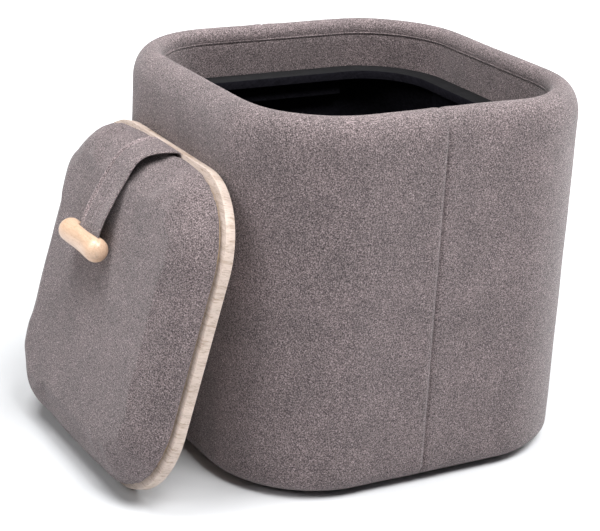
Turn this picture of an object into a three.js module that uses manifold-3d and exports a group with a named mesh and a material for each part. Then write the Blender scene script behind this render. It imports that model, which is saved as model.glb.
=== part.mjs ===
// Storage ottoman: a padded rounded-square box with a lift-off padded lid.
// The lid stands on its edge against the -X side and is carried over the rim into the recess.
// Units are millimetres, +Z is up, the floor is z = 0 and the box is centred on x = y = 0.
import * as THREE from 'three';
import { mergeVertices } from 'three/addons/utils/BufferGeometryUtils.js';
import Module from 'manifold-3d';

const wasm = await Module();
wasm.setup();

// ---------------------------------------------------------------- driving dimensions
const GAP = 0.3;              // air left between touching pieces
const HALF = 200;             // half the width of the covered box
const CORNER_R = 115;         // plan radius of the box's corners
const TOP = 390;              // crest of the padded rim
const COVER_T = 2;            // upholstery fabric with its backing
const RIM_CREST_IN = 20.5;    // crest of the rim, in from the outside
const RIM_DROP = 31.8;        // height of the rim's outer rounding
const COVER_Z0 = 4.4;         // underside of the cover's turned-in hem
const FOOT_R = 17.5;          // rounding at the bottom edge

const RECESS = 170;           // half the width of the recess the lid drops into
const RECESS_R = 88;          // plan radius of the recess's corners
const LIP_W = 9.5;            // inner rounding of the rim, sideways
const LIP_H = 12;             // inner rounding of the rim, downwards
const SEAM_Z = 375.5;         // seam between the outer cover and the recess band
const SEAM_X = -10.5;         // seams down the front and the back, a little off the middle

const WALL_OUT = 182.9;       // half width over the wall boards
const WALL_IN = RECESS + COVER_T + GAP;
const WALL_TOP = 375.6;
const WALL_SPAN = 84.5;       // half length of each flat wall board
const PANEL_Z0 = 6.7;         // bottom panel
const PANEL_T = 12;

const LEDGE_TOP = 337.5;      // the lid's board rests here
const LEDGE_T = 10;
const LEDGE_HALF = 146.2;     // half width of the opening through the ledge
const LEDGE_R = 66;
const CLEAT_W = 15.5;
const CLEAT_H = 18;
const CLEAT_LEN = 160;

const GLIDE_R = 11;
const GLIDE_H = 6.4;           // the disc passes through the dust cover up to the bottom panel
const GLIDE_AT = 125;
const NAIL_R = 1.1;
const NAIL_LEN = 9;
const GLIDE_HOLE_R = 12;      // hole in the dust cover round each glide

const LID_HALF = 165.3;       // lid board
const LID_R = 84.5;
const BOARD_T = 10.5;
const PAD_HALF = 164.3;
const PAD_R = 83.5;
const PAD_T = 38;
const PAD_RND_W = 30;         // rounding of the pad's top edge, sideways
const PAD_RND_H = 34;         // rounding of the pad's top edge, downwards
const PAD_BASE_HALF = 156;
const PAD_BASE_T = 5;
const SCREW_AT = 100;
const SCREW_R = 1.7;
const SCREW_HEAD_R = 3.8;

const STRAP_W = 54;           // width of the strap where it leaves the lid
const STRAP_T = 2.4;
const STRAP_Y = -11;          // strap centre where it leaves the lid
const STRAP_HINGE_W = 46;     // strap width where it bends
const STRAP_END_W = 45;
const STRAP_END_Y = 14;       // strap centre at the toggle
const TOGGLE_Y = 22;          // toggle centre
const ROD_U = 132;            // anchor rod in the lid, from the lid's centre
const ROD_H = 12.1;
const ROD_R = 2.5;
const ROD_LEN = 64;
const LOOP_R = 4.2;
const HINGE_T = 72;           // degrees round the pad's edge where the strap bends
const TOGGLE_U = 50;
const TOGGLE_R = 12.5;
const TOGGLE_WAIST = 11.8;
const TOGGLE_LEN = 88.5;
const SLOT_W = 50;
const SLOT_T = 3.2;

const LEAN = 75.6;            // lid's angle from flat while it leans
const LEAN_CLEAR = 0.8;       // air between the leaning lid's board and the cover
const LID_Y = 1.5;            // lid's centre along the wall

const SEG = 7;                // chords in each rounded corner
const BSEG = 5;               // steps in each edge rounding

// ---------------------------------------------------------------- solids
const BIG = 900;
function solid(geometry) {
  let g = geometry.clone();
  g.deleteAttribute('normal');
  g.deleteAttribute('uv');
  g = mergeVertices(g, 1e-4);
  return new wasm.Manifold(new wasm.Mesh({
    numProp: 3,
    vertProperties: new Float32Array(g.attributes.position.array),
    triVerts: new Uint32Array(g.index.array),
  }));
}
function outline(half, r, seg = SEG) {
  const pts = [];
  for (let k = 0; k < 4; k++) {
    const cx = [1, -1, -1, 1][k] * (half - r);
    const cy = [1, 1, -1, -1][k] * (half - r);
    for (let i = 0; i <= seg; i++) {
      const a = (k + i / seg) * Math.PI / 2;
      pts.push(new THREE.Vector2(cx + r * Math.cos(a), cy + r * Math.sin(a)));
    }
  }
  return pts;
}
function block(x0, x1, y0, y1, z0, z1) {
  const g = new THREE.BoxGeometry(x1 - x0, y1 - y0, z1 - z0);
  g.translate((x0 + x1) / 2, (y0 + y1) / 2, (z0 + z1) / 2);
  return solid(g);
}
function prism(half, r, z0, z1, seg = SEG) {
  const g = new THREE.ExtrudeGeometry(new THREE.Shape(outline(half, r, seg)), { depth: z1 - z0, bevelEnabled: false });
  g.translate(0, 0, z0);
  return solid(g);
}
// a rounded-square block whose top edge is rounded by w sideways and h downwards
function crowned(half, r, z0, z1, w, h, bseg = BSEG) {
  const g = new THREE.ExtrudeGeometry(new THREE.Shape(outline(half - w, r - w)), {
    depth: z1 - h - (z0 - 60), bevelEnabled: true, bevelThickness: h, bevelSize: w, bevelSegments: bseg,
  });
  g.translate(0, 0, z0 - 60);
  return solid(g).intersect(block(-BIG, BIG, -BIG, BIG, z0, z1 + 1));
}
// the same, rounded at the bottom edge
function footed(half, r, z0, z1, w, bseg = BSEG) {
  const g = new THREE.ExtrudeGeometry(new THREE.Shape(outline(half - w, r - w)), {
    depth: z1 + 60 - (z0 + w), bevelEnabled: true, bevelThickness: w, bevelSize: w, bevelSegments: bseg,
  });
  g.translate(0, 0, z0 + w);
  return solid(g).intersect(block(-BIG, BIG, -BIG, BIG, z0 - 1, z1));
}
// everything outside a rounded-square hole whose top lip is rounded
function holed(half, r, z0, z1, w, h) {
  const s = new THREE.Shape([[-260, -260], [260, -260], [260, 260], [-260, 260]].map((p) => new THREE.Vector2(...p)));
  s.holes.push(new THREE.Path(outline(half + w, r + w)));
  const g = new THREE.ExtrudeGeometry(s, {
    depth: z1 - h - (z0 - 60), bevelEnabled: true, bevelThickness: h, bevelSize: w, bevelSegments: BSEG,
  });
  g.translate(0, 0, z0 - 60);
  return solid(g).intersect(block(-BIG, BIG, -BIG, BIG, z0, z1 + 1));
}
// a profile in (x, z), extruded along y
function slab(points, y0, y1) {
  const s = new THREE.Shape(points.map((p) => new THREE.Vector2(p[0], p[1])));
  const g = new THREE.ExtrudeGeometry(s, { depth: y1 - y0, bevelEnabled: false });
  g.rotateX(Math.PI / 2);      // (x, y, z) -> (x, -z, y)
  g.translate(0, y1, 0);
  return solid(g);
}
function turned(profile, seg = 16) {   // profile of (radius, height), closed on the axis
  return solid(new THREE.LatheGeometry(profile.map((p) => new THREE.Vector2(p[0], p[1])), seg).rotateX(Math.PI / 2));
}

// ---------------------------------------------------------------- materials
const looks = {
  fabric: { color: 0x7b716e, roughness: 0.95, metalness: 0 },
  foam: { color: 0xd9d2bd, roughness: 0.95, metalness: 0 },
  board: { color: 0xb89f7c, roughness: 0.8, metalness: 0 },
  oak: { color: 0xcdb49a, roughness: 0.6, metalness: 0 },
  beech: { color: 0xe3b587, roughness: 0.45, metalness: 0 },
  black_board: { color: 0x1d1d1f, roughness: 0.7, metalness: 0 },
  liner: { color: 0x121213, roughness: 0.95, metalness: 0 },
  plastic: { color: 0x19191a, roughness: 0.5, metalness: 0 },
  steel: { color: 0x9a9a98, roughness: 0.35, metalness: 1 },
};
const root = new THREE.Group();
function piece(group, name, manifold, look) {
  const m = manifold.getMesh();
  const g = new THREE.BufferGeometry();
  g.setAttribute('position', new THREE.BufferAttribute(new Float32Array(m.vertProperties), 3));
  g.setIndex(new THREE.BufferAttribute(new Uint32Array(m.triVerts), 1));
  const mesh = new THREE.Mesh(g, new THREE.MeshStandardMaterial(looks[look]));
  mesh.name = name;
  group.add(mesh);
}

// ---------------------------------------------------------------- the box
const sides = { front: [0, -1], back: [0, 1], left: [-1, 0], right: [1, 0] };
const corners = { front_left: [-1, -1], front_right: [1, -1], back_left: [-1, 1], back_right: [1, 1] };
function sideCut([sx, sy], z0 = -10, z1 = 500, span = WALL_SPAN) {
  return sx
    ? block(Math.min(0, sx * 300), Math.max(0, sx * 300), -span, span, z0, z1)
    : block(-span, span, Math.min(0, sy * 300), Math.max(0, sy * 300), z0, z1);
}
function cornerCut([sx, sy], z0 = -10, z1 = 500) {
  const a = WALL_SPAN + GAP;
  const x = [sx * a, sx * 300].sort((p, q) => p - q);
  const y = [sy * a, sy * 300].sort((p, q) => p - q);
  return block(x[0], x[1], y[0], y[1], z0, z1);
}
const outR = (half) => CORNER_R - (HALF - half);
const inR = (half) => RECESS_R + (half - RECESS);

// glides: a disc with a nail
const glideShape = [[0, 0], [GLIDE_R - 0.8, 0], [GLIDE_R, 0.8], [GLIDE_R, GLIDE_H - 0.4], [GLIDE_R - 0.4, GLIDE_H],
  [NAIL_R, GLIDE_H], [NAIL_R, GLIDE_H + NAIL_LEN - 2], [0, GLIDE_H + NAIL_LEN]];
const glide = () => turned(glideShape, 20);
let nailHoles = null;
let glideHoles = null;
for (const [name, [sx, sy]] of Object.entries(corners)) {
  const t = [sx * GLIDE_AT, sy * GLIDE_AT, 0];
  // LatheGeometry turned upright points along -z after the quarter turn, so it is flipped
  const g = glide().rotate([0, 0, 0]);
  const b = g.boundingBox();
  const up = b.max[2] > 1 ? g : g.rotate([180, 0, 0]);
  piece(root, 'base_glide_' + name, up.translate(t), 'plastic');
  const hole = block(t[0] - 1.6, t[0] + 1.6, t[1] - 1.6, t[1] + 1.6, 0, GLIDE_H + NAIL_LEN + 0.6);
  nailHoles = nailHoles ? nailHoles.add(hole) : hole;
  const clear = prism(GLIDE_HOLE_R, GLIDE_HOLE_R - 0.01, 0, 6, 6).translate(t);
  glideHoles = glideHoles ? glideHoles.add(clear) : clear;
}

piece(root, 'dust_cover', prism(177, 92, 3.3, 4.1).subtract(glideHoles), 'liner');
piece(root, 'bottom_panel', prism(WALL_OUT, outR(WALL_OUT), PANEL_Z0, PANEL_Z0 + PANEL_T).subtract(nailHoles), 'board');
const wallZ0 = PANEL_Z0 + PANEL_T + GAP;
const wallRing = prism(WALL_OUT, outR(WALL_OUT), wallZ0, WALL_TOP).subtract(prism(WALL_IN, inR(WALL_IN), wallZ0 - 5, WALL_TOP + 5));
for (const [name, dir] of Object.entries(sides)) piece(root, 'wall_' + name, wallRing.intersect(sideCut(dir)), 'board');
for (const [name, dir] of Object.entries(corners)) piece(root, 'corner_shell_' + name, wallRing.intersect(cornerCut(dir)), 'board');

// foam on the outside of the walls, folded over their top edge
const f = HALF - COVER_T - GAP;
const foamTop = TOP - COVER_T - GAP;
const foamIn = RECESS + COVER_T + GAP;
const foamRing = crowned(f, outR(f), 9, foamTop, RIM_CREST_IN - COVER_T - GAP, RIM_DROP - COVER_T - GAP)
  .intersect(footed(f, outR(f), PANEL_Z0, foamTop + 5, FOOT_R - COVER_T - GAP))
  .intersect(holed(foamIn, inR(foamIn), 0, foamTop, LIP_W, LIP_H))
  .subtract(prism(WALL_OUT + GAP, outR(WALL_OUT + GAP), -5, WALL_TOP + GAP));
for (const [name, dir] of Object.entries(sides)) piece(root, 'side_foam_' + name, foamRing.intersect(sideCut(dir)), 'foam');
for (const [name, dir] of Object.entries(corners)) piece(root, 'corner_foam_' + name, foamRing.intersect(cornerCut(dir)), 'foam');

// outer cover: two sewn halves that meet near the middle of the front and of the back
const c = HALF - COVER_T;
const coverOuter = crowned(HALF, CORNER_R, COVER_Z0, TOP, RIM_CREST_IN, RIM_DROP)
  .intersect(footed(HALF, CORNER_R, COVER_Z0, TOP + 5, FOOT_R))
  .intersect(holed(RECESS, RECESS_R, 0, TOP, LIP_W, LIP_H));
const coverInner = crowned(c, outR(c), COVER_Z0 + COVER_T, TOP - COVER_T, RIM_CREST_IN - COVER_T, RIM_DROP - COVER_T)
  .intersect(footed(c, outR(c), COVER_Z0 + COVER_T, TOP + 5, FOOT_R - COVER_T))
  .intersect(holed(RECESS + COVER_T, inR(RECESS + COVER_T), 0, TOP - COVER_T, LIP_W, LIP_H));
const cover = coverOuter.subtract(coverInner)
  .subtract(prism(RECESS + COVER_T + 1, inR(RECESS + COVER_T + 1), COVER_Z0 + COVER_T, SEAM_Z + GAP));
piece(root, 'cover_left', cover.intersect(block(-BIG, SEAM_X - GAP / 2, -BIG, BIG, -10, 500)), 'fabric');
piece(root, 'cover_right', cover.intersect(block(SEAM_X + GAP / 2, BIG, -BIG, BIG, -10, 500)), 'fabric');

// the band runs down outside the ledge, so nothing lies over the ledge's edge
piece(root, 'recess_band', prism(RECESS + COVER_T, inR(RECESS + COVER_T), LEDGE_TOP - LEDGE_T, SEAM_Z)
  .subtract(prism(RECESS, RECESS_R, LEDGE_TOP - LEDGE_T - 5, SEAM_Z + 5)), 'fabric');

// ledge that the lid rests on, its cleats and the lining
const ledgeZ0 = LEDGE_TOP - LEDGE_T;
piece(root, 'ledge_ring', prism(RECESS - GAP, inR(RECESS - GAP), ledgeZ0, LEDGE_TOP)
  .subtract(prism(LEDGE_HALF, LEDGE_R, ledgeZ0 - 5, LEDGE_TOP + 5)), 'black_board');
const cz1 = ledgeZ0 - GAP;
const cz0 = cz1 - CLEAT_H;
let cleatRoom = null;
for (const [name, [sx, sy]] of Object.entries(sides)) {
  const room = sx ? block(Math.min(sx * 150, sx * 180), Math.max(sx * 150, sx * 180), -CLEAT_LEN / 2 - GAP, CLEAT_LEN / 2 + GAP, cz0 - GAP, cz1 + 5)
    : block(-CLEAT_LEN / 2 - GAP, CLEAT_LEN / 2 + GAP, Math.min(sy * 150, sy * 180), Math.max(sy * 150, sy * 180), cz0 - GAP, cz1 + 5);
  cleatRoom = cleatRoom ? cleatRoom.add(room) : room;
  const a = RECESS + COVER_T - CLEAT_W;
  const b = RECESS + COVER_T;
  const lo = sx ? Math.min(sx * a, sx * b) : Math.min(sy * a, sy * b);
  const hi = sx ? Math.max(sx * a, sx * b) : Math.max(sy * a, sy * b);
  piece(root, 'ledge_cleat_' + name, sx
    ? block(lo, hi, -CLEAT_LEN / 2, CLEAT_LEN / 2, cz0, cz1)
    : block(-CLEAT_LEN / 2, CLEAT_LEN / 2, lo, hi, cz0, cz1), 'black_board');
}
piece(root, 'liner_floor', prism(RECESS + COVER_T - 0.4, inR(RECESS + COVER_T - 0.4), wallZ0, wallZ0 + 1.2), 'liner');
piece(root, 'liner_sleeve', prism(RECESS + COVER_T, inR(RECESS + COVER_T), wallZ0 + 1.5, ledgeZ0 - GAP)
  .subtract(prism(RECESS + COVER_T - 1.2, inR(RECESS + COVER_T - 1.2), wallZ0 - 5, cz0 + 50))
  .subtract(cleatRoom), 'liner');

// ---------------------------------------------------------------- the lid, drawn flat: underside z = 0
const lid = new THREE.Group();
root.add(lid);
const padZ0 = BOARD_T + GAP;
const padTop = padZ0 + PAD_T;
const baseTop = padZ0 + PAD_BASE_T;

const screwShape = [[0, 0.3], [SCREW_HEAD_R, 0.3], [SCREW_R, 2.8], [SCREW_R, 12.5], [0, 14]];
const screwHoleShape = [[0, -1], [SCREW_HEAD_R + 0.6, -1], [SCREW_HEAD_R + 0.6, 0.5], [SCREW_R + 0.4, 3.1], [SCREW_R + 0.4, 14.4], [0, 14.4]];
function upright(m) {
  const b = m.boundingBox();
  return b.max[2] > 5 ? m : m.rotate([180, 0, 0]);
}
let screwHoles = null;
const screws = [];
for (const [sx, sy] of Object.values(corners)) {
  const t = [sx * SCREW_AT, sy * SCREW_AT, 0];
  screws.push(upright(turned(screwShape, 14)).translate(t));
  const h = upright(turned(screwHoleShape, 14)).translate(t);
  screwHoles = screwHoles ? screwHoles.add(h) : h;
}

const rodY0 = STRAP_Y - ROD_LEN / 2;
const rodY1 = STRAP_Y + ROD_LEN / 2;
const chanY0 = rodY0 - 1;
const chanY1 = rodY1 + 1;
// groove for the looped end of the strap and its rod, and the flat channel out to the edge
const groove = block(ROD_U - LOOP_R - 0.8, ROD_U + LOOP_R + 0.8, chanY0, chanY1, ROD_H - LOOP_R - 0.5, ROD_H + LOOP_R + 0.6);
const channel = block(ROD_U, PAD_HALF + 5, STRAP_Y - STRAP_W / 2 - 0.6, STRAP_Y + STRAP_W / 2 + 0.6, padZ0 - 0.2, padZ0 + 2.2);

const board = footed(LID_HALF, LID_R, 0, BOARD_T, 1.5, 2).subtract(screwHoles).subtract(groove);
piece(lid, 'lid_board', board, 'oak');
piece(lid, 'pad_base', prism(PAD_BASE_HALF, PAD_R - (PAD_HALF - PAD_BASE_HALF), padZ0, baseTop)
  .subtract(screwHoles).subtract(groove).subtract(channel), 'board');
const pi = PAD_HALF - COVER_T - GAP;
piece(lid, 'pad_foam', crowned(pi, PAD_R - COVER_T - GAP, baseTop + GAP, padTop - COVER_T - GAP, PAD_RND_W - COVER_T - GAP, PAD_RND_H - COVER_T - GAP)
  .subtract(groove), 'foam');
piece(lid, 'pad_cover', crowned(PAD_HALF, PAD_R, padZ0, padTop, PAD_RND_W, PAD_RND_H)
  .subtract(crowned(PAD_HALF - COVER_T, PAD_R - COVER_T, padZ0 - 5, padTop - COVER_T, PAD_RND_W - COVER_T, PAD_RND_H - COVER_T))
  .subtract(channel), 'fabric');
screws.forEach((s, i) => piece(lid, 'lid_screw_' + (i + 1), s, 'steel'));

// strap: a looped end on a rod, a run over the pad's edge, then the free length to the toggle
function edgePoint(deg, off) {
  const t = THREE.MathUtils.degToRad(deg);
  const n = new THREE.Vector2(Math.cos(t) / PAD_RND_W, Math.sin(t) / PAD_RND_H).normalize();
  return [PAD_HALF - PAD_RND_W + PAD_RND_W * Math.cos(t) + n.x * off,
    padTop - PAD_RND_H + PAD_RND_H * Math.sin(t) + n.y * off];
}
const run = [];
const runDegs = [0, 12, 24, 36, 48, 58, HINGE_T - 3];
run.push([ROD_U + 3.2, padZ0 + 0.2]);
run.push([PAD_HALF + 0.3 + STRAP_T, padZ0 + 0.2]);
for (const d of runDegs) run.push(edgePoint(d, GAP + STRAP_T));
for (const d of [...runDegs].reverse()) run.push(edgePoint(d, GAP));
run.push([PAD_HALF + 0.3, padZ0 + 1.8]);
run.push([ROD_U + 3.2, padZ0 + 1.8]);
const sy0 = STRAP_Y - STRAP_W / 2;
const sy1 = STRAP_Y + STRAP_W / 2;
function ringAt(x, z, r, y0, y1, seg = 20) {
  const pts = [];
  for (let i = 0; i < seg; i++) {
    const a = i / seg * 2 * Math.PI;
    pts.push([x + r * Math.cos(a), z + r * Math.sin(a)]);
  }
  return slab(pts, y0, y1);
}
piece(lid, 'strap_root', slab(run, sy0, sy1).add(ringAt(ROD_U, ROD_H, LOOP_R, sy0, sy1))
  .subtract(ringAt(ROD_U, ROD_H, ROD_R + 0.35, sy0 - 5, sy1 + 5)), 'fabric');
piece(lid, 'strap_anchor_rod', ringAt(ROD_U, ROD_H, ROD_R, rodY0, rodY1, 18), 'board');

const hingeAt = edgePoint(HINGE_T, GAP + STRAP_T / 2);
const toggleH = padTop + TOGGLE_R + 1.6;
const mid = new THREE.CatmullRomCurve3([
  new THREE.Vector3(...edgePoint(HINGE_T + 3, GAP + STRAP_T / 2), 0),
  new THREE.Vector3(130, padTop + 2.4, 0),
  new THREE.Vector3(105, padTop + 5.2, 0),
  new THREE.Vector3(82, padTop + 10, 0),
  new THREE.Vector3(66, toggleH - 0.6, 0),
  new THREE.Vector3(56, toggleH, 0),
  new THREE.Vector3(TOGGLE_U - 5, toggleH, 0),
]);
const N = 12;
const upper = [];
const lower = [];
for (let i = 0; i <= N; i++) {
  const p = mid.getPointAt(i / N);
  const d = mid.getTangentAt(i / N);
  const half = STRAP_T / 2;
  // the tangent runs towards -x, so (d.y, -d.x) is the upper side
  upper.push([p.x + d.y * half, p.y - d.x * half]);
  lower.push([p.x - d.y * half, p.y + d.x * half]);
}
const u0 = upper[0][0];
const u1 = upper[N][0];
// taper and slant the free length towards the toggle
const flat = slab([...upper, ...lower.reverse()], -STRAP_W / 2, STRAP_W / 2);
const strap = flat.warp((v) => {
  const k = Math.min(1, Math.max(0, (u0 - v[0]) / (u0 - u1 - 18)));
  const w = (STRAP_HINGE_W + (STRAP_END_W - STRAP_HINGE_W) * k) / STRAP_W;
  v[1] = v[1] * w + STRAP_Y + (STRAP_END_Y - STRAP_Y) * k;
});
piece(lid, 'strap', strap, 'fabric');

const hl = TOGGLE_LEN / 2;
const prof = [[0, -hl]];
for (let i = 1; i <= 5; i++) {
  const a = i / 5 * Math.PI / 2;
  prof.push([TOGGLE_R * Math.sin(a), -hl + TOGGLE_R - TOGGLE_R * Math.cos(a)]);
}
for (let i = 1; i < 8; i++) {
  const s = i / 8;
  const bell = 0.5 - 0.5 * Math.cos(2 * Math.PI * s);
  prof.push([TOGGLE_R - (TOGGLE_R - TOGGLE_WAIST) * bell, -hl + TOGGLE_R + (TOGGLE_LEN - 2 * TOGGLE_R) * s]);
}
for (let i = 0; i < 5; i++) {
  const a = (1 - i / 5) * Math.PI / 2;
  prof.push([TOGGLE_R * Math.sin(a), hl - TOGGLE_R + TOGGLE_R * Math.cos(a)]);
}
prof.push([0, hl]);
const spindle = solid(new THREE.LatheGeometry(prof.map((p) => new THREE.Vector2(...p)), 24));   // axis along y
const slot = block(TOGGLE_U - 6.2, TOGGLE_U + 30, STRAP_END_Y - SLOT_W / 2, STRAP_END_Y + SLOT_W / 2, toggleH - SLOT_T / 2, toggleH + SLOT_T / 2);
piece(lid, 'toggle', spindle.translate([TOGGLE_U, TOGGLE_Y, toggleH]).subtract(slot), 'beech');

// ---------------------------------------------------------------- lean the lid against the -X side
const lean = THREE.MathUtils.degToRad(LEAN);
lid.rotation.y = -lean;
lid.position.set(-HALF - LEAN_CLEAR - LID_HALF * Math.cos(lean), LID_Y, LID_HALF * Math.sin(lean));

export default root;
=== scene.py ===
import math
import random

import bmesh
import bpy
import numpy as np
from mathutils import Matrix, Vector, noise


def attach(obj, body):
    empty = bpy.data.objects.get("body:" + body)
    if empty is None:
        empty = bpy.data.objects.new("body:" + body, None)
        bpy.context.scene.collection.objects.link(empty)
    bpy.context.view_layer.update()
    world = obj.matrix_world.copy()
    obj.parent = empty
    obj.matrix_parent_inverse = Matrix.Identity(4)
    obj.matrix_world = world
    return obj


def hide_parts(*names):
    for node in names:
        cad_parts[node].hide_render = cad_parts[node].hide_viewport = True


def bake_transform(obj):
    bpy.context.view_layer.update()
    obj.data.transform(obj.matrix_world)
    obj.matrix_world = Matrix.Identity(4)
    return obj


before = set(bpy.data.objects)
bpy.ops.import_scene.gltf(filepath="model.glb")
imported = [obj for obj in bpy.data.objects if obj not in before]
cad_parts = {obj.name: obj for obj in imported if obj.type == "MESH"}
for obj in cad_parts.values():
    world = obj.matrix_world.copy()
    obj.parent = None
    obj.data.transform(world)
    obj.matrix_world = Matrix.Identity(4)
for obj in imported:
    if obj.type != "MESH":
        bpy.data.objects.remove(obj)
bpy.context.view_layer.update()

random.seed(7)
noise.seed_set(7)
MM = 0.001

# ------------------------------------------------------------------ the lid's own frame
LEAN = math.radians(75.6)
CL, SL = math.cos(LEAN), math.sin(LEAN)
LID_O = (-241.909 * MM, 1.5 * MM, 160.108 * MM)
LID_M = Matrix(((CL, 0, -SL, LID_O[0]), (0, 1, 0, LID_O[1]), (SL, 0, CL, LID_O[2]), (0, 0, 0, 1)))
BOX_TOP = 390.0
SEAM_F = -10.5  # where the cover's seam runs down the front, and down the back


# ------------------------------------------------------------------ helpers
def new_object(name, verts, faces, smooth=True):
    me = bpy.data.meshes.new(name)
    me.from_pydata([tuple(v) for v in verts], [], faces)
    me.validate()
    me.update()
    ob = bpy.data.objects.new(name, me)
    bpy.context.scene.collection.objects.link(ob)
    fix_normals(ob)
    if smooth:
        me.polygons.foreach_set("use_smooth", [True] * len(me.polygons))
    return ob


def fix_normals(ob):
    bm = bmesh.new()
    bm.from_mesh(ob.data)
    bmesh.ops.recalc_face_normals(bm, faces=bm.faces)
    bm.to_mesh(ob.data)
    bm.free()


def bake_modifiers(ob):
    bpy.context.view_layer.update()
    dg = bpy.context.evaluated_depsgraph_get()
    me = bpy.data.meshes.new_from_object(ob.evaluated_get(dg), depsgraph=dg)
    old = ob.data
    ob.modifiers.clear()
    ob.data = me
    bpy.data.meshes.remove(old)
    return ob


def cut(ob, *cutters):
    for c in cutters:
        m = ob.modifiers.new("cut", "BOOLEAN")
        m.operation = "DIFFERENCE"
        m.solver = "EXACT"
        m.object = c
        bake_modifiers(ob)
        bpy.data.objects.remove(c)
    return ob


def sharpen(ob, deg=35):
    """Smooth shading that keeps edges over deg sharp."""
    bm = bmesh.new()
    bm.from_mesh(ob.data)
    lim = math.radians(deg)
    for e in bm.edges:
        e.smooth = not (len(e.link_faces) != 2 or e.calc_face_angle(0) > lim)
    for f in bm.faces:
        f.smooth = True
    bm.to_mesh(ob.data)
    bm.free()
    return ob


def side_ts(lo=-1.0, hi=1.0, n=28, ends=(), a=85.0):
    """Parameters along a straight side, closer together near the given x."""
    ts = set(np.linspace(lo, hi, n).round(6))
    for e in ends:
        for d in (0.0, 0.25, 0.6, 1.0, 1.5, 2.1, 2.9, 4.0, 5.5, 7.5, 10.0, 13.0):
            for s in (-1, 1):
                t = e + s * d / a
                if lo - 1e-6 <= t <= hi + 1e-6:
                    ts.add(round(t, 6))
    return sorted(ts)


def corner_ts(n=26):
    return [(i + 1) / (n + 1) for i in range(n)]


def full_ring(n=28, nc=26):
    p = []
    for k in range(4):
        p += [("s", k, t) for t in side_ts(n=n)]
        p += [("c", k, t) for t in corner_ts(nc)]
    return p


def ring_point(half, r, p):
    """(x, y, outward x, outward y) on a rounded square, in mm."""
    kind, k, t = p
    a = half - r
    if kind == "s":
        x, y, nx, ny = t * a, -half, 0.0, -1.0
    else:
        g = -math.pi / 2 + t * math.pi / 2
        nx, ny = math.cos(g), math.sin(g)
        x, y = a + r * nx, -a + r * ny
    for _ in range(k):
        x, y, nx, ny = -y, x, -ny, nx
    return x, y, nx, ny


def sweep(name, params, profile, closed_ring=True, disp=None):
    """profile is a closed loop of (half, r, z) in mm, swept round the rounded square.
    disp(x, y, z, nx, ny, i, j) gives (outward, up) in mm for each vertex."""
    n, m = len(params), len(profile)
    verts = []
    for i, p in enumerate(params):
        for j, (half, r, z) in enumerate(profile):
            x, y, nx, ny = ring_point(half, r, p)
            if disp:
                o, u = disp(x, y, z, nx, ny, i, j)
                x, y, z = x + nx * o, y + ny * o, z + u
            verts.append((x * MM, y * MM, z * MM))
    faces = []
    for i in range(n if closed_ring else n - 1):
        a, b = i * m, ((i + 1) % n) * m
        for j in range(m):
            k = (j + 1) % m
            faces.append((a + j, b + j, b + k, a + k))
    if not closed_ring:
        faces.append(tuple(range(m)))
        faces.append(tuple((n - 1) * m + j for j in reversed(range(m))))
    return new_object(name, verts, faces)


def prism(name, half, r, z0, z1, nc=40, chamfer=0.0):
    """A rounded-square block, in mm, with small rounded edges."""
    params = []
    for k in range(4):
        params += [("s", k, -1.0), ("s", k, 1.0)]
        params += [("c", k, t) for t in corner_ts(nc)]
    c = chamfer
    rows = [(half - c, r - c, z0), (half - 0.3 * c, r - 0.3 * c, z0 + 0.3 * c), (half, r, z0 + c), (half, r, z1 - c), (half - 0.3 * c, r - 0.3 * c, z1 - 0.3 * c), (half - c, r - c, z1)] if c else [(half, r, z0), (half, r, z1)]
    n = len(params)
    verts, faces = [], []
    for h, rr, z in rows:
        for p in params:
            x, y, _, _ = ring_point(h, rr, p)
            verts.append((x * MM, y * MM, z * MM))
    for q in range(len(rows) - 1):
        for i in range(n):
            k = (i + 1) % n
            faces.append((q * n + i, q * n + k, (q + 1) * n + k, (q + 1) * n + i))
    faces.append(tuple(reversed(range(n))))
    faces.append(tuple((len(rows) - 1) * n + i for i in range(n)))
    return new_object(name, verts, faces)


def box_mesh(name, x0, x1, y0, y1, z0, z1):
    v = [(x * MM, y * MM, z * MM) for x in (x0, x1) for y in (y0, y1) for z in (z0, z1)]
    f = [(0, 1, 3, 2), (4, 6, 7, 5), (0, 4, 5, 1), (2, 3, 7, 6), (0, 2, 6, 4), (1, 5, 7, 3)]
    return new_object(name, v, f, smooth=False)


def lathe(name, prof, seg=96, axis="Z"):
    """prof is (radius, height) in mm, from end to end, radius 0 at both ends."""
    verts = [(0, 0, prof[0][1] * MM)]
    inner = prof[1:-1]
    for r, z in inner:
        for i in range(seg):
            a = 2 * math.pi * i / seg
            verts.append((r * math.cos(a) * MM, r * math.sin(a) * MM, z * MM))
    verts.append((0, 0, prof[-1][1] * MM))
    last = len(verts) - 1
    faces = []
    for i in range(seg):
        k = (i + 1) % seg
        faces.append((0, 1 + k, 1 + i))
        for q in range(len(inner) - 1):
            a, b = 1 + q * seg, 1 + (q + 1) * seg
            faces.append((a + i, a + k, b + k, b + i))
        a = 1 + (len(inner) - 1) * seg
        faces.append((a + i, a + k, last))
    if axis == "Y":
        verts = [(x, z, -y) for x, y, z in verts]
    return new_object(name, verts, faces)


def wave(x, y, z, size, seed=0.0):
    """Smooth noise from about -1 to 1 with features of the given size, in mm."""
    return noise.noise(Vector((x / size + seed, y / size + 1.7 * seed, z / size - 0.6 * seed)))


def ease(t):
    t = min(1.0, max(0.0, t))
    return t * t * (3 - 2 * t)


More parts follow.
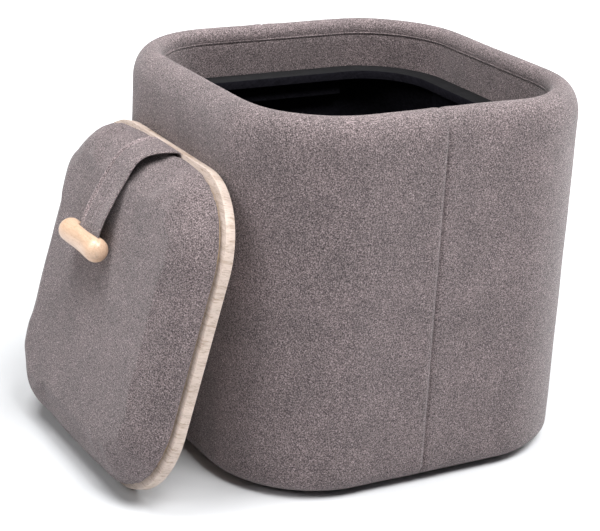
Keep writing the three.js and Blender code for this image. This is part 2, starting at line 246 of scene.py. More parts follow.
# ------------------------------------------------------------------ materials
def material(name, rough, metallic=0.0, specular=0.5, sheen=0.0, sheen_rough=0.5, coat=0.0, coat_rough=0.2):
    m = bpy.data.materials.new(name)
    m.use_nodes = True
    nt = m.node_tree
    b = nt.nodes["Principled BSDF"]
    b.inputs["Roughness"].default_value = rough
    b.inputs["Metallic"].default_value = metallic
    b.inputs["Specular IOR Level"].default_value = specular
    b.inputs["Sheen Weight"].default_value = sheen
    b.inputs["Sheen Roughness"].default_value = sheen_rough
    b.inputs["Coat Weight"].default_value = coat
    b.inputs["Coat Roughness"].default_value = coat_rough
    return m, nt, b


def coords(nt, scale=(1, 1, 1), rot=(0, 0, 0)):
    """Object coordinates, turned and then stretched."""
    out = nt.nodes.new("ShaderNodeTexCoord").outputs["Object"]
    for key, value in (("Rotation", rot), ("Scale", scale)):
        mp = nt.nodes.new("ShaderNodeMapping")
        mp.inputs[key].default_value = value
        nt.links.new(out, mp.inputs["Vector"])
        out = mp.outputs["Vector"]
    return out


def tex_noise(nt, vec, scale, detail=2.0, rough=0.5, distortion=0.0):
    n = nt.nodes.new("ShaderNodeTexNoise")
    n.inputs["Scale"].default_value = scale
    n.inputs["Detail"].default_value = detail
    n.inputs["Roughness"].default_value = rough
    n.inputs["Distortion"].default_value = distortion
    nt.links.new(vec, n.inputs["Vector"])
    return n.outputs["Fac"]


def ramp(nt, fac, stops):
    r = nt.nodes.new("ShaderNodeValToRGB")
    el = r.color_ramp.elements
    while len(el) < len(stops):
        el.new(0.5)
    for e, (pos, col) in zip(el, stops):
        e.position = pos
        e.color = (*col, 1.0)
    nt.links.new(fac, r.inputs["Fac"])
    return r.outputs["Color"]


def mult(nt, a, b, fac=1.0):
    m = nt.nodes.new("ShaderNodeMix")
    m.data_type = "RGBA"
    m.blend_type = "MULTIPLY"
    m.inputs["Factor"].default_value = fac
    nt.links.new(a, m.inputs["A"])
    nt.links.new(b, m.inputs["B"])
    return m.outputs["Result"]


def add_val(nt, a, b, wa, wb):
    m1 = nt.nodes.new("ShaderNodeMath")
    m1.operation = "MULTIPLY"
    m1.inputs[1].default_value = wa
    nt.links.new(a, m1.inputs[0])
    m2 = nt.nodes.new("ShaderNodeMath")
    m2.operation = "MULTIPLY_ADD"
    m2.inputs[1].default_value = wb
    nt.links.new(b, m2.inputs[0])
    nt.links.new(m1.outputs[0], m2.inputs[2])
    return m2.outputs[0]


def bump(nt, bsdf, height, strength, distance):
    b = nt.nodes.new("ShaderNodeBump")
    b.inputs["Strength"].default_value = strength
    b.inputs["Distance"].default_value = distance
    nt.links.new(height, b.inputs["Height"])
    nt.links.new(b.outputs["Normal"], bsdf.inputs["Normal"])


def shade(c, k):
    return tuple(v * k for v in c)


def fabric(name, base, seed=0.0):
    """A short nubby pile: light and dark flecks about a millimetre across, with a soft mottle."""
    m, nt, b = material(name, 0.95, specular=0.15, sheen=0.22, sheen_rough=0.45)
    v = coords(nt, rot=(seed, 0.3 * seed, 0.1))
    nub = tex_noise(nt, v, 800, 3.0, 0.62)
    fibre = tex_noise(nt, v, 1500, 2.0, 0.6)
    mottle = tex_noise(nt, v, 26, 3.0, 0.55)
    speck = ramp(nt, nub, [(0.33, shade(base, 0.204)), (0.46, shade(base, 0.762)), (0.55, shade(base, 1.179)), (0.67, shade(base, 2.333))])
    soft = ramp(nt, mottle, [(0.30, (0.88, 0.88, 0.88)), (0.70, (1.12, 1.10, 1.10))])
    fine = ramp(nt, fibre, [(0.32, (0.80, 0.80, 0.80)), (0.68, (1.18, 1.17, 1.16))])
    nt.links.new(mult(nt, mult(nt, speck, soft), fine), b.inputs["Base Color"])
    bump(nt, b, add_val(nt, nub, fibre, 0.8, 0.35), 0.75, 0.0011)
    return m


def oak(name, base, rot, along="y", coarse=1.0):
    """Pale oak or beech with straight grain along one axis of the piece, and pores on the end grain."""
    m, nt, b = material(name, 0.52, specular=0.4, coat=0.10, coat_rough=0.35)
    s = {"y": (1.0, 0.06, 0.16), "x": (0.06, 1.0, 0.16)}[along]
    v = coords(nt, scale=s, rot=rot)
    broad = tex_noise(nt, v, 45 * coarse, 2.0, 0.5, 0.6)
    line = tex_noise(nt, v, 360 * coarse, 3.0, 0.6, 0.3)
    v2 = coords(nt, scale=tuple(max(0.22, q) for q in s), rot=rot)
    pore = tex_noise(nt, v2, 900 * coarse, 2.0, 0.6)
    c1 = ramp(nt, broad, [(0.32, shade(base, 0.93)), (0.5, base), (0.68, shade(base, 1.04))])
    c2 = ramp(nt, line, [(0.34, (0.76, 0.70, 0.64)), (0.48, (0.97, 0.96, 0.95)), (0.66, (1.05, 1.04, 1.03))])
    c3 = ramp(nt, pore, [(0.36, (0.78, 0.73, 0.68)), (0.44, (1.0, 1.0, 1.0)), (0.7, (1.04, 1.04, 1.04))])
    nt.links.new(mult(nt, mult(nt, c1, c2), c3), b.inputs["Base Color"])
    bump(nt, b, add_val(nt, line, pore, 0.5, 0.5), 0.25, 0.0003)
    return m


def beech(name, base, rot):
    m, nt, b = material(name, 0.38, specular=0.5, coat=0.25, coat_rough=0.22)
    v = coords(nt, scale=(1.0, 0.08, 1.0), rot=rot)
    broad = tex_noise(nt, v, 130, 2.0, 0.5, 0.8)
    line = tex_noise(nt, v, 900, 2.0, 0.6)
    v2 = coords(nt, scale=(1.0, 0.35, 1.0), rot=rot)
    fleck = tex_noise(nt, v2, 700, 1.0, 0.5)
    c1 = ramp(nt, broad, [(0.30, shade(base, 0.84)), (0.5, base), (0.7, shade(base, 1.06))])
    c2 = ramp(nt, line, [(0.33, (0.90, 0.86, 0.82)), (0.6, (1.02, 1.02, 1.02))])
    c3 = ramp(nt, fleck, [(0.30, (0.88, 0.82, 0.76)), (0.40, (1.0, 1.0, 1.0))])
    nt.links.new(mult(nt, mult(nt, c1, c2), c3), b.inputs["Base Color"])
    bump(nt, b, line, 0.12, 0.0002)
    return m


def plain(name, base, rough, scale, contrast=0.15, fine=900, depth=0.0004, strength=0.4, **kw):
    """Any other surface: two sizes of soft variation and a fine grain."""
    m, nt, b = material(name, rough, **kw)
    v = coords(nt)
    a = tex_noise(nt, v, scale, 3.0, 0.55)
    f = tex_noise(nt, v, fine, 3.0, 0.6)
    c1 = ramp(nt, a, [(0.3, shade(base, 1 - contrast)), (0.7, shade(base, 1 + contrast))])
    c2 = ramp(nt, f, [(0.33, (1 - contrast, 1 - contrast, 1 - contrast)), (0.67, (1 + 0.5 * contrast, 1 + 0.5 * contrast, 1 + 0.5 * contrast))])
    nt.links.new(mult(nt, c1, c2), b.inputs["Base Color"])
    bump(nt, b, f, strength, depth)
    return m


def nonwoven(name, base):
    """Spun-bonded lining: short crossing fibres."""
    m, nt, b = material(name, 1.0, specular=0.0)
    a = tex_noise(nt, coords(nt, scale=(1, 0.15, 0.15), rot=(0.3, 0.5, 0.7)), 700, 2.0, 0.6)
    c = tex_noise(nt, coords(nt, scale=(0.15, 1, 0.3), rot=(0.9, 0.2, 0.4)), 700, 2.0, 0.6)
    h = add_val(nt, a, c, 0.5, 0.5)
    nt.links.new(ramp(nt, h, [(0.35, shade(base, 0.7)), (0.65, shade(base, 1.6))]), b.inputs["Base Color"])
    bump(nt, b, h, 0.5, 0.0006)
    return m


def steel(name):
    m, nt, b = material(name, 0.36, metallic=1.0)
    v = coords(nt, scale=(1, 1, 1))
    a = tex_noise(nt, v, 1500, 2.0, 0.6)
    nt.links.new(ramp(nt, a, [(0.3, (0.42, 0.42, 0.40)), (0.7, (0.62, 0.61, 0.58))]), b.inputs["Base Color"])
    bump(nt, b, a, 0.2, 0.0002)
    return m


FAB = (0.176, 0.145, 0.148)
LID_ROT = (0, LEAN, 0)
mat_fabric = fabric("nubby_fabric", FAB, 0.4)
mat_fabric_lid = fabric("nubby_fabric_lid", FAB, 1.1)
mat_fabric_strap = fabric("nubby_fabric_strap", shade(FAB, 1.08), 2.0)
# a lighter copy of the cover cloth, 1.42 times as bright, for the strap's +Y edge: a painted highlight where that
# edge catches the light
mat_fabric_painted_highlight_edge = fabric("nubby_fabric_painted_highlight_edge", shade(FAB, 1.42), 2.6)
mat_oak = oak("oak_board", (0.60, 0.50, 0.44), LID_ROT)
mat_beech = beech("beech_toggle", (0.72, 0.505, 0.36), LID_ROT)
mat_foam = plain("foam", (0.72, 0.66, 0.50), 0.95, 60, 0.08, 1200, 0.0012, 0.8)
mat_board = plain("fibreboard", (0.42, 0.31, 0.20), 0.8, 120, 0.16, 1100, 0.0005, 0.4)
mat_dowel = oak("birch_dowel", (0.62, 0.47, 0.31), (0, 0, 0))
mat_ledge = plain("black_board", (0.010, 0.010, 0.011), 0.7, 80, 0.2, 700, 0.0004, 0.5, specular=0.12)
mat_lining = nonwoven("black_lining", (0.010, 0.0095, 0.0125))
mat_dust = nonwoven("dust_cover_cloth", (0.012, 0.012, 0.012))
mat_plastic = plain("black_plastic", (0.018, 0.018, 0.018), 0.45, 200, 0.2, 1600, 0.0002, 0.3)
mat_steel = steel("zinc_steel")


def finish_piece(ob, mat, body, slot, *nodes, declare=None):
    ob.data.materials.clear()
    ob.data.materials.append(mat)
    if nodes:
        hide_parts(*nodes)
    if body:
        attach(ob, body)
    return ob


# ------------------------------------------------------------------ box: outer cover, two sewn halves
def lip_r(d):
    """Plan radius at inset d, easing from the outside's radius into the recess's."""
    k = min(1.0, max(0.0, (d - 20.5) / 9.5))
    return 115.0 - d + 3.0 * k * k * (3 - 2 * k)


def cover_profile(thick=2.0):
    outer = []
    outer.append((30.0, 4.5))
    outer.append((24.0, 4.4))
    for i in range(11):
        a = math.pi / 2 * i / 10
        outer.append((17.5 * (1 - math.sin(a)), 4.4 + 17.5 * (1 - math.cos(a))))
    for z in np.linspace(30, 351, 42):
        outer.append((0.0, z))
    for i in range(27):
        a = math.pi / 2 * i / 26
        outer.append((20.5 * (1 - math.cos(a)), 390 - 31.8 * (1 - math.sin(a))))
    for i in range(1, 15):
        a = math.pi / 2 * i / 14
        outer.append((30 - 9.5 * math.cos(a), 390 - 12 * (1 - math.cos(math.pi / 2 - a)) if False else 378 + 12 * math.cos(a)))
    # the rounding above runs from the crest down to the recess wall; the edge is then turned into the seam
    outer = [(d, z) for d, z in outer]
    outer[-14:] = [(20.5 + 9.5 * math.sin(math.pi / 2 * i / 14), 378 + 12 * math.cos(math.pi / 2 * i / 14)) for i in range(1, 15)]
    outer += [(29.95, 377.0), (29.85, 376.2), (30.0, 375.8), (30.6, 375.6)]
    # outward normals of the open profile, in (outward, up)
    nrm = []
    for i in range(len(outer)):
        a, b = outer[max(0, i - 1)], outer[min(len(outer) - 1, i + 1)]
        dx, dz = -(b[0] - a[0]), b[1] - a[1]
        l = math.hypot(dx, dz) or 1
        nrm.append((dz / l, -dx / l))
    inner = [(d + n[0] * thick, z - n[1] * thick) for (d, z), n in zip(outer, nrm)]
    inner = [(d, z) for d, z in inner]
    prof = [(200 - d, lip_r(d), z) for d, z in outer] + [(200 - d, lip_r(d), z) for d, z in reversed(inner)]
    arc = [0.0]
    for i in range(1, len(outer)):
        arc.append(arc[-1] + math.hypot(outer[i][0] - outer[i - 1][0], outer[i][1] - outer[i - 1][1]))
    info = [(True, nrm[i], arc[i]) for i in range(len(outer))]
    info += [(False, nrm[i], arc[i]) for i in reversed(range(len(outer)))]
    return prof, info


def undulate(x, y, z):
    """How far the upholstered surface swells or sinks, in mm."""
    d = 0.75 * wave(x, y, z, 95, 3.1) + 0.35 * wave(x, y, z, 38, 8.2)
    return d


COVER_PROF, COVER_INFO = cover_profile()


def cover_half(name, right):
    """Right half: front seam, +X side, back seam."""
    gap = 0.12
    ts = (SEAM_F + gap) / 85.0 if right else (SEAM_F - gap) / 85.0
    tb = -(SEAM_F + gap) / 85.0 if right else -(SEAM_F - gap) / 85.0
    params = []
    if right:
        params += [("s", 0, t) for t in side_ts(ts, 1, 18, (ts,))]
        params += [("c", 0, t) for t in corner_ts(30)]
        params += [("s", 1, t) for t in side_ts(n=26)]
        params += [("c", 1, t) for t in corner_ts(30)]
        params += [("s", 2, t) for t in side_ts(-1, tb, 18, (tb,))]
    else:
        params += [("s", 2, t) for t in side_ts(tb, 1, 18, (tb,))]
        params += [("c", 2, t) for t in corner_ts(30)]
        params += [("s", 3, t) for t in side_ts(n=26)]
        params += [("c", 3, t) for t in corner_ts(30)]
        params += [("s", 0, t) for t in side_ts(-1, ts, 18, (ts,))]

    def disp(x, y, z, nx, ny, i, j):
        outer, n, arc = COVER_INFO[j]
        s = abs(x - SEAM_F) if abs(x) < 84 else 99.0
        deep = 1.9 if z < 352 else max(0.7, 1.9 - 1.2 * (z - 352) / 22)
        o = -deep * math.exp(-((s / 1.9) ** 2))
        if outer:
            o += undulate(x, y, z)
            o += 0.35 * math.exp(-(((s - 8) / 5) ** 2))
            o += 0.30 * math.exp(-s / 9.0) * math.sin(2 * math.pi * arc / 17.0 + 1.5 * wave(x, y, z, 60, 5.0))
        fade = 1.0 if z > 12 else max(0.0, (z - 5) / 7)
        if z < 376.8 and 200 - abs(max(abs(x), abs(y))) > 28:
            fade = 0.3
        o *= fade
        return o * n[0], o * n[1]

    return sweep(name, params, COVER_PROF, closed_ring=False, disp=disp)


def shade_cover(ob):
    return sharpen(ob, 50)


cover_r = shade_cover(cover_half("cover_right_sewn", True))
cover_l = shade_cover(cover_half("cover_left_sewn", False))
finish_piece(cover_r, mat_fabric, "box", "upholstery", "cover_right", declare=0.9)
finish_piece(cover_l, mat_fabric, "box", "upholstery", "cover_left", declare=0.9)

# recess band: the strip of the same cloth inside the rim, sewn to the cover at its top
band_out = [(170.0, 327.7), (170.0, 333), (169.9, 340), (169.7, 348), (169.6, 356), (169.7, 364), (169.8, 369), (170.1, 372.2), (170.6, 374.0), (171.1, 375.0), (171.5, 375.4)]
band_in = [(172.0, 375.4), (172.0, 360), (172.0, 344), (172.0, 327.7)]
band = [(h, 88 + (h - 170), z) for h, z in band_out + band_in]


def band_disp(x, y, z, nx, ny, i, j):
    if j >= len(band_out) or z < 328 or z > 371:
        return 0.0, 0.0
    o = 0.45 * wave(x, y, z * 0.5, 42, 11.0) + 0.25 * wave(x, y, z, 18, 6.0)
    # a fold where the strip turns the corners
    for cx, cy, w in ((-1, 1, 1.1), (1, 1, 0.6), (1, -1, 0.5), (-1, -1, 0.6)):
        ang = math.atan2(y, x) - math.atan2(cy, cx)
        ang = (ang + math.pi) % (2 * math.pi) - math.pi
        o += -w * math.exp(-((ang * 150 - 14) / 5) ** 2) * (0.4 + 0.6 * (z - 330) / 45)
        o += 0.6 * w * math.exp(-((ang * 150 - 24) / 7) ** 2)
    return o, 0.0


band_ob = sharpen(sweep("recess_band_cloth", full_ring(30, 30), band, disp=band_disp), 50)
finish_piece(band_ob, mat_fabric, "box", "upholstery", "recess_band", declare=0.9)

# foam wrap under the cover, folded over the walls' top edge
foam = []
for d, z in [(2.4 + 15.2, 7.0)] + [(2.4 + 15.2 * (1 - math.sin(math.pi / 2 * i / 6)), 7.0 + 15.2 * (1 - math.cos(math.pi / 2 * i / 6))) for i in range(1, 7)]:
    foam.append((d, z))
foam += [(2.4, z) for z in (80, 160, 240, 320, 358)]
foam += [(2.4 + 18.1 * (1 - math.cos(math.pi / 2 * i / 8)), 358.4 + 29.3 * math.sin(math.pi / 2 * i / 8)) for i in range(1, 9)]
foam += [(20.5 + 7.1 * math.sin(math.pi / 2 * i / 5), 378 + 9.7 * math.cos(math.pi / 2 * i / 5)) for i in range(1, 6)]
foam += [(27.6, 376.1), (16.8, 376.0), (16.8, 200), (16.8, 7.0)]
foam_ob = sharpen(sweep("foam_wrap", full_ring(12, 16), [(200 - d, 115 - d + (3 if d > 22 else 0), z) for d, z in foam]), 40)
finish_piece(foam_ob, mat_foam, "box", "foam", *[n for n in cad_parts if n.startswith(("side_foam_", "corner_foam_"))], declare=1.0)

# ledge: one black board ring the lid rests on
ledge = [(169.6, 87.6, 328.3), (169.6, 87.6, 336.9), (169.0, 87.0, 337.5), (147.2, 67, 337.5), (146.5, 66.3, 337.2), (146.2, 66, 336.5), (146.2, 66, 328.3), (147.0, 66.8, 327.6), (169.0, 87, 327.6)]
ledge_ob = sharpen(sweep("ledge_board", full_ring(8, 40), ledge), 40)
finish_piece(ledge_ob, mat_ledge, "box", "black_board", "ledge_ring")
ledge_ob.data.materials.append(mat_lining)
for f in ledge_ob.data.polygons:
    if f.center.z < 0.3371:
        f.material_index = 1

# lining: sleeve with slack vertical ripples, and a cloth-covered floor
sl_in = [(170.9, z) for z in np.linspace(20.6, 308.5, 30)]
sl_out = [(171.9, 308.5), (171.9, 164), (171.9, 20.6)]


def sleeve_disp(x, y, z, nx, ny, i, j):
    rise = 0.0
    if not (abs(x) < 81.5 and abs(y) > 150 or abs(y) < 81.5 and abs(x) > 150):
        rise = (z - 20.6) / (308.5 - 20.6) * 18.5
    if j >= len(sl_in):
        return 0.0, rise
    k = min(1.0, (z - 20.6) / 40, (308.5 - z) / 25)
    return -max(0.0, k) * (0.7 + 0.7 * wave(x, y, z * 0.18, 30, 2.0) + 0.4 * wave(x, y, z * 0.3, 12, 9.0)), rise


sleeve = sharpen(sweep("lining_sleeve_cloth", full_ring(26, 26), [(h, 88 + h - 170, z) for h, z in sl_in + sl_out], disp=sleeve_disp), 50)
finish_piece(sleeve, mat_lining, "box", "black_lining", "liner_sleeve")
floor_ob = sharpen(prism("lining_floor_cloth", 171.4, 89.4, 19.05, 20.15, chamfer=0.4), 40)
finish_piece(floor_ob, mat_lining, "box", "black_lining", "liner_floor")


# ------------------------------------------------------------------ lid: oak board
def lid_piece(ob):
    ob.data.transform(LID_M)
    fix_normals(ob)
    return ob


def cone_cutter(name, cx, cy):
    rows = [(4.4, -2.0), (4.4, 0.5), (2.1, 3.1), (2.1, 14.4)]
    seg = 24
    v, f = [], []
    for r, z in rows:
        for i in range(seg):
            a = 2 * math.pi * i / seg
            v.append(((cx + r * math.cos(a)) * MM, (cy + r * math.sin(a)) * MM, z * MM))
    for q in range(len(rows) - 1):
        for i in range(seg):
            k = (i + 1) % seg
            f.append((q * seg + i, q * seg + k, (q + 1) * seg + k, (q + 1) * seg + i))
    f.append(tuple(reversed(range(seg))))
    f.append(tuple((len(rows) - 1) * seg + i for i in range(seg)))
    return new_object(name, v, f, smooth=False)


board = prism("oak_lid_board", 165.3, 84.5, 0.0, 10.5, nc=48, chamfer=0.9)
cut(board, *[cone_cutter("hole", sx * 100, sy * 100) for sx in (-1, 1) for sy in (-1, 1)])
cut(board, box_mesh("groove", 126.8, 137.2, -44.2, 22.2, 7.2, 30))
sharpen(lid_piece(board), 30)
finish_piece(board, mat_oak, "lid", "oak_board", "lid_board")


# ------------------------------------------------------------------ lid: padded cover, swollen by a cloth simulation
def pad_start(shrink):
    """The pad as a smooth crowned rounded square, in the lid's frame, in mm."""
    half, r = 164.3 - shrink, 83.5 - shrink
    rows = [(half, r, 10.9), (half, r, 13.0)]
    top = 48.8 - 1.2 * shrink
    for i in range(0, 15):
        a = math.pi / 2 * i / 14
        rows.append((half - 30 * (1 - math.cos(a)), r - 30 * (1 - math.cos(a)), top - 34 * (1 - math.sin(a))))
    for k in (0.72, 0.5, 0.28, 0.1):
        rows.append(((half - 30) * k, (r - 30) * k, top))
    params = []
    for k in range(4):
        params += [("s", k, t) for t in np.linspace(-1, 1, 16)]
        params += [("c", k, t) for t in corner_ts(16)]
    n = len(params)
    verts, faces = [], []
    for h, rr, z in rows:
        for p in params:
            x, y, _, _ = ring_point(h, rr, p)
            verts.append((x * MM, y * MM, z * MM))
    for q in range(len(rows) - 1):
        for i in range(n):
            k = (i + 1) % n
            faces.append((q * n + i, q * n + k, (q + 1) * n + k, (q + 1) * n + i))
    faces.append(tuple(reversed(range(n))))
    faces.append(tuple((len(rows) - 1) * n + i for i in range(n)))
    return new_object("lid_pad", verts, faces)


def swell(ob, frames=20, voxel=0.0052, pressure=4.0, cap=0.005):
    m = ob.modifiers.new("remesh", "REMESH")
    m.mode = "VOXEL"
    m.voxel_size = voxel
    bake_modifiers(ob)
    start = np.array([v.co for v in ob.data.vertices])
    g = ob.vertex_groups.new(name="pin")
    low = [v.index for v in ob.data.vertices if v.co.z < 0.0155]
    g.add(low, 1.0, "REPLACE")
    c = ob.modifiers.new("cloth", "CLOTH")
    s = c.settings
    s.quality = 5
    s.mass = 0.3
    s.tension_stiffness = 20
    s.compression_stiffness = 20
    s.bending_stiffness = 1.5
    s.use_pressure = True
    s.uniform_pressure_force = pressure
    s.vertex_group_mass = "pin"
    s.effector_weights.gravity = 0
    c.collision_settings.use_collision = False
    sc = bpy.context.scene
    c.point_cache.frame_start = 1
    c.point_cache.frame_end = frames
    for f in range(1, frames + 1):
        sc.frame_set(f)
    dg = bpy.context.evaluated_depsgraph_get()
    ev = ob.evaluated_get(dg)
    end = np.array([v.co for v in ev.data.vertices])
    ob.modifiers.clear()
    ob.vertex_groups.clear()
    sc.frame_set(1)
    d = end - start
    l = np.linalg.norm(d, axis=1, keepdims=True)
    d *= np.minimum(1.0, cap / np.maximum(l, 1e-9))
    new = start + d
    ob.data.vertices.foreach_set("co", new.astype(np.float32).ravel())
    ob.data.update()
    return ob


pad = pad_start(1.8)
swell(pad)
sm = pad.modifiers.new("smooth", "CORRECTIVE_SMOOTH" if False else "SMOOTH")
sm.factor = 0.5
sm.iterations = 6
sub = pad.modifiers.new("sub", "SUBSURF")
sub.levels = 1
sub.render_levels = 1
bake_modifiers(pad)
co = np.array([v.co for v in pad.data.vertices])
for q in co:
    u, y, h = q / MM
    if h > 20:
        k = min(1.0, (h - 20) / 20)
        q[2] += k * MM * (0.6 * wave(u, y, 0, 70, 4.0) + 0.25 * wave(u, y, 0, 26, 7.5))
    if u > 120 and h < 40:
        left = ease((y - 14) / 16) * ease((92 - y) / 60)
        right = 0.55 * ease((-36 - y) / 14) * ease((92 + y) / 45)
        q[0] += 3.6 * MM * (left + right) * math.exp(-(((h - 13) / 11) ** 2)) * ease((u - 120) / 35)
# stay under the strap, over the board, and inside the board's edge
co[:, 2] = np.clip(co[:, 2], 10.8 * MM, 48.7 * MM)
pad.data.vertices.foreach_set("co", co.astype(np.float32).ravel())
cut(pad, prism("c1", 156.5, 76, -30, 16.1, nc=12), box_mesh("c2", 120, 175, -38.8, 16.8, -20, 13.6), box_mesh("c3", 126.8, 137.2, -44.3, 22.3, -20, 17.4))
sharpen(lid_piece(pad), 50)
finish_piece(pad, mat_fabric_lid, "lid", "upholstery", "pad_cover", "pad_foam", declare=0.85)


# ------------------------------------------------------------------ strap: one folded strip of the cover cloth
def edge_point(deg, off):
    t = math.radians(deg)
    nx, nz = math.cos(t) / 30, math.sin(t) / 34
    l = math.hypot(nx, nz)
    return (164.3 - 30 + 30 * math.cos(t) + nx / l * off, 48.8 - 34 + 34 * math.sin(t) + nz / l * off)


def smooth_path(pts, step):
    """Catmull-Rom through (u, h, y, width) rows, resampled evenly."""
    P = np.array(pts, float)
    P = np.vstack([2 * P[0] - P[1], P, 2 * P[-1] - P[-2]])
    out = []
    for i in range(1, len(P) - 2):
        for t in np.linspace(0, 1, 24, endpoint=False):
            a, b, c, d = P[i - 1], P[i], P[i + 1], P[i + 2]
            out.append(0.5 * ((2 * b) + (-a + c) * t + (2 * a - 5 * b + 4 * c - d) * t * t + (-a + 3 * b - 3 * c + d) * t ** 3))
    out.append(P[-2])
    out = np.array(out)
    s = np.concatenate([[0], np.cumsum(np.hypot(np.diff(out[:, 0]), np.diff(out[:, 1])))])
    k = np.linspace(0, s[-1], int(s[-1] / step))
    return np.column_stack([np.interp(k, s, out[:, j]) for j in range(out.shape[1])])


TH = 2.3
OFF = 0.45 + TH / 2
# the looped end round the rod, then out along the channel and over the pad's edge
rows = [(128.9, 14.6, -11, 53), (127.95, 12.1, -11, 53), (129.0, 9.4, -11, 53), (132.0, 8.2, -11, 53), (136.0, 9.6, -11, 53), (141.5, 12.15, -11, 53), (150, 12.2, -11, 53), (158, 12.2, -11, 53), (163.5, 12.5, -11, 53.5)]
for deg, y, w in ((2, -11.0, 54), (14, -10.6, 53), (26, -9.2, 50), (38, -6.6, 45.5), (50, -4.0, 42), (61, -1.6, 41.5), (72, 0.8, 42.5)):
    u, h = edge_point(deg, OFF)
    rows.append((u, h, y, w))
rows += [(136, 50.6, 3.4, 43.5), (126, 51.2, 7.0, 44.5), (114, 52.6, 10.4, 45.0), (101, 55.0, 12.3, 45.0), (88, 58.0, 12.9, 45.0), (75, 61.0, 13.4, 45.0), (65, 62.6, 13.8, 45.0), (56, 62.9, 14.0, 45.0), (45.6, 62.9, 14.0, 45.0)]
path = smooth_path(rows, 1.6)
tan = np.gradient(path[:, :2], axis=0)
tan /= np.linalg.norm(tan, axis=1, keepdims=True)
nor = np.column_stack([tan[:, 1], -tan[:, 0]])  # away from the pad
if nor[len(nor) // 2, 1] < 0:
    nor = -nor
NW = 40
verts = []
loop = []
total = len(path)
for i, (u, h, y, w) in enumerate(path):
    nu, nh = nor[i]
    s = i / (total - 1)
    near = min(1.0, max(0.0, (82 - u) / 18)) if h > 45 else 0.0  # flatter as it enters the toggle
    free = 1.0 if (h > 46 and u < 140) else 0.0
    ring = []
    for side in (1, -1):
        for j in range(NW + 1):
            q = -1 + 2 * j / NW
            if side < 0:
                q = -q
            yy = y + q * w / 2
            edge = math.sqrt(max(0.0, 1 - max(0.0, (abs(q) * w / 2 - (w / 2 - 1.2)) / 1.2) ** 2))
            half = TH / 2 * edge
            if side > 0 and h > 14:
                fadeh = (1 - near) * min(1.0, (h - 14) / 12)
                d = w / 2 * (1 - q)  # distance from the +Y edge
                half += fadeh * edge * (1.2 * math.exp(-(((d - 2.4) / 1.7) ** 2)) - 1.1 * math.exp(-(((d - 5.4) / 0.9) ** 2)))
                half += fadeh * edge * (0.6 * math.exp(-(((q + 0.02) * w / 2 / 1.7) ** 2)) - 0.5 * math.exp(-(((q - 0.14) * w / 2 / 1.4) ** 2))) * min(1.0, max(0.0, (128 - u) / 20))
                half += fadeh * edge * 0.12 * wave(u, yy, h, 9, 3.0)
            lift = free * (1 - near) * (1.7 * (q * q) * (1.0 if q < 0 else 0.8) * min(1.0, (140 - u) / 30))
            off = side * half + lift
            ring.append(len(verts))
            verts.append(((u + nu * off) * MM, yy * MM, (h + nh * off) * MM))
    loop.append(ring)
faces = []
m = len(loop[0])
for i in range(total - 1):
    for j in range(m):
        k = (j + 1) % m
        faces.append((loop[i][j], loop[i][k], loop[i + 1][k], loop[i + 1][j]))
faces.append(tuple(reversed(loop[0])))
faces.append(tuple(loop[-1]))
strap = new_object("strap_strip", verts, faces)
sharpen(lid_piece(strap), 60)
strap.data.materials.append(mat_fabric_strap)
strap.data.materials.append(mat_fabric_painted_highlight_edge)
# faces along the strap's +Y edge, except near the strip's start, take the lighter cloth: a painted highlight on that
# edge
for f in strap.data.polygons:
    ring_j = min(f.vertices) % m
    if ring_j >= NW - 7 and ring_j <= NW + 1 and min(f.vertices) // m > 22:
        f.material_index = 1
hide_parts("strap_root", "strap")


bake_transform(strap)


# ------------------------------------------------------------------ toggle: turned beech with a slot
def toggle_profile():
    hl, R, W = 44.25, 12.5, 12.0
    p = [(0.0, -hl)]
    for i in range(1, 17):
        a = math.pi / 2 * i / 16
        p.append((R * math.sin(a), -hl + R - R * math.cos(a)))
    n = 36
    for i in range(1, n):
        s = i / n
        bell = 0.5 - 0.5 * math.cos(2 * math.pi * s)
        p.append((R - (R - W) * bell, -hl + R + (2 * hl - 2 * R) * s))
    for i in range(16):
        a = (1 - i / 16) * math.pi / 2
        p.append((R * math.sin(a), hl - R + R * math.cos(a)))
    p.append((0.0, hl))
    return p


toggle = lathe("beech_toggle", toggle_profile(), 96, axis="Y")
toggle.data.transform(Matrix.Translation((50 * MM, 22 * MM, 62.9 * MM)))
fix_normals(toggle)
for v in toggle.data.vertices:
    u, y, h = v.co.x / MM - 50, v.co.y / MM - 22, v.co.z / MM - 62.9
    t = max(0.0, 1 - (abs(y) / 27) ** 2)
    front = max(0.0, (0.94 * h - 0.1 * u) / 12.5)
    up = max(0.0, u / 12.5)
    k = 1 - t * (0.10 * front ** 2 + 0.05 * up ** 2)
    v.co.x, v.co.z = (50 + u * k) * MM, (62.9 + h * k) * MM
fix_normals(toggle)
cut(toggle, box_mesh("slot", 43.8, 80, -11, 39, 62.9 - 1.6, 62.9 + 1.6))
bv = toggle.modifiers.new("bevel", "BEVEL")
bv.width = 0.5 * MM
bv.segments = 2
bv.limit_method = "ANGLE"
bv.angle_limit = math.radians(50)
bake_modifiers(toggle)
sharpen(lid_piece(toggle), 45)
finish_piece(toggle, mat_beech, "strap_handle", "toggle_wood", "toggle")

# ------------------------------------------------------------------ CAD pieces that keep their shape
for name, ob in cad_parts.items():
    if ob.hide_render:
        continue
    if name.startswith(("wall_", "corner_shell_", "bottom_panel", "pad_base")):
        mat = mat_board
    elif name.startswith("ledge_cleat"):
        mat = mat_lining
    elif name.startswith("base_glide"):
        mat = mat_plastic
    elif name == "dust_cover":
        mat = mat_dust
    elif name.startswith("lid_screw"):
        mat = mat_steel
    elif name == "strap_anchor_rod":
        mat = mat_dowel
    else:
        mat = mat_board
    ob.data.materials.clear()
    ob.data.materials.append(mat)

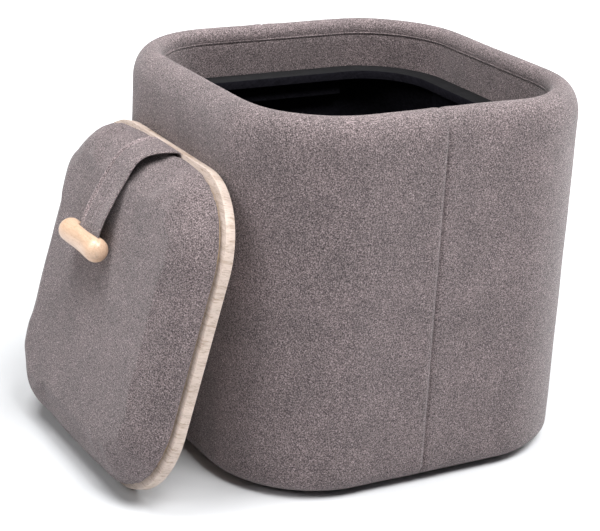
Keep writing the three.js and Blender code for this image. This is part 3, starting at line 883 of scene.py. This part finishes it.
# ------------------------------------------------------------------ floor, light and camera
bpy.ops.mesh.primitive_plane_add(size=30, location=(0, 0, 0))
ground = bpy.context.object
ground.name = "studio_floor"
gm, gnt, gb = material("studio_white", 0.9, specular=0.1)
gn = tex_noise(gnt, coords(gnt), 3.0, 1.0, 0.5)
gnt.links.new(ramp(gnt, gn, [(0.3, (0.70, 0.71, 0.725)), (0.7, (0.72, 0.73, 0.745))]), gb.inputs["Base Color"])
# the floor's emission is none within about 0.67 m of the centre and rises to 0.85 beyond about 1.8 m: a painted glow
# that keeps the far floor white, so the floor near the object is darker
grad = gnt.nodes.new("ShaderNodeTexGradient")
grad.gradient_type = "SPHERICAL"
gnt.links.new(coords(gnt, scale=(0.3, 0.3, 0.3)), grad.inputs["Vector"])
gnt.links.new(ramp(gnt, grad.outputs["Fac"], [(0.45, (0.85, 0.85, 0.85)), (0.80, (0.0, 0.0, 0.0))]), gb.inputs["Emission Color"])
gb.inputs["Emission Strength"].default_value = 1.0
ground.data.materials.append(gm)

world = bpy.data.worlds.new("studio")
bpy.context.scene.world = world
world.use_nodes = True
bg = world.node_tree.nodes["Background"]
bg.inputs["Color"].default_value = (0.93, 0.97, 1.0, 1.0)
bg.inputs["Strength"].default_value = 0.05


def area(name, at, to, size, watts, color=(1, 1, 1)):
    ld = bpy.data.lights.new(name, "AREA")
    ld.shape = "SQUARE"
    ld.size = size
    ld.energy = watts
    ld.color = color
    ob = bpy.data.objects.new(name, ld)
    bpy.context.scene.collection.objects.link(ob)
    ob.location = at
    ob.rotation_euler = (Vector(to) - Vector(at)).to_track_quat("-Z", "Y").to_euler()
    return ob


area("front_high", (0.15, -1.3, 3.0), (0, 0, 0.3), 1.2, 80)
area("front_right_high", (1.6, -1.0, 2.6), (0, 0, 0.3), 1.2, 50)
area("top_left", (-0.6, 0.3, 2.2), (0, 0, 0.3), 0.9, 38)
area("left", (-2.3, -0.25, 2.0), (0, 0, 0.25), 1.2, 23)
area("right", (2.4, 0.2, 1.0), (0, 0, 0.2), 1.2, 33)

cam = bpy.data.cameras.new("photo_camera")
cam.sensor_fit = "HORIZONTAL"
cam.sensor_width = 36
cam.lens = 108.82746
cam.clip_start = 0.05
cam.clip_end = 100
cob = bpy.data.objects.new("photo_camera", cam)
bpy.context.scene.collection.objects.link(cob)
R_ = Vector((0.872413, -0.486116, 0.050866)).normalized()
U_ = Vector((0.128608, 0.328711, 0.935633)).normalized()
B_ = R_.cross(U_).normalized()
U_ = B_.cross(R_).normalized()
cob.matrix_world = Matrix(((R_.x, U_.x, B_.x, -0.96164), (R_.y, U_.y, B_.y, -1.56337), (R_.z, U_.z, B_.z, 0.84631), (0, 0, 0, 1)))
bpy.context.scene.camera = cob

sc = bpy.context.scene
sc.view_settings.view_transform = "Standard"
sc.view_settings.look = "None"
sc.view_settings.exposure = 0.0
sc.view_settings.gamma = 1.0
